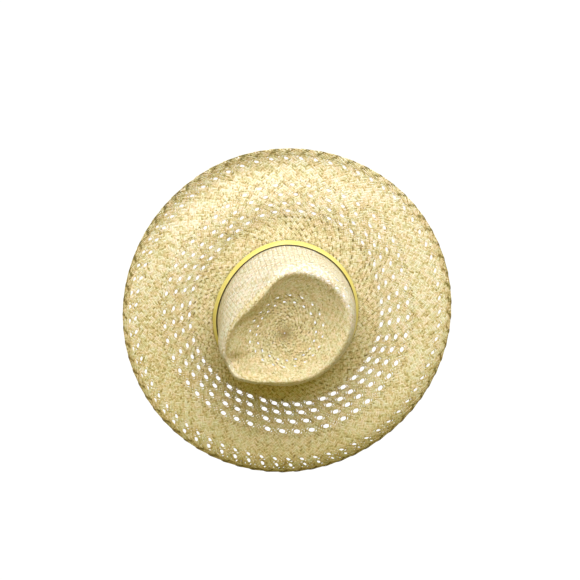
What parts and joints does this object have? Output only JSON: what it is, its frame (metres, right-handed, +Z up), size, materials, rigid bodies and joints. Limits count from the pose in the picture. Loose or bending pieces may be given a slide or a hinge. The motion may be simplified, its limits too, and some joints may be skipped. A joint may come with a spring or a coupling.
{
  "type": "floppy straw hat",
  "caption": "Wide-brimmed woven straw hat with a pinched teardrop crown, openwork rings in brim and crown, a softly waving brim and a narrow leather band.",
  "frame": {"origin": "on the ground, under the middle of the brim", "axes": "+Z up; the front of the hat, with the pinch of its crown, points to -Y; +X is the wearer's left"},
  "size_m": [0.4451, 0.4448, 0.112],
  "materials": {
    "straw": "woven natural straw, matt with a faint sheen on the strands",
    "leather": "smooth yellow leather, satin"
  },
  "bodies": {
    "root": {"brim": "straw", "crown": "straw", "hat_band": "leather"}
  },
  "joints": []
}
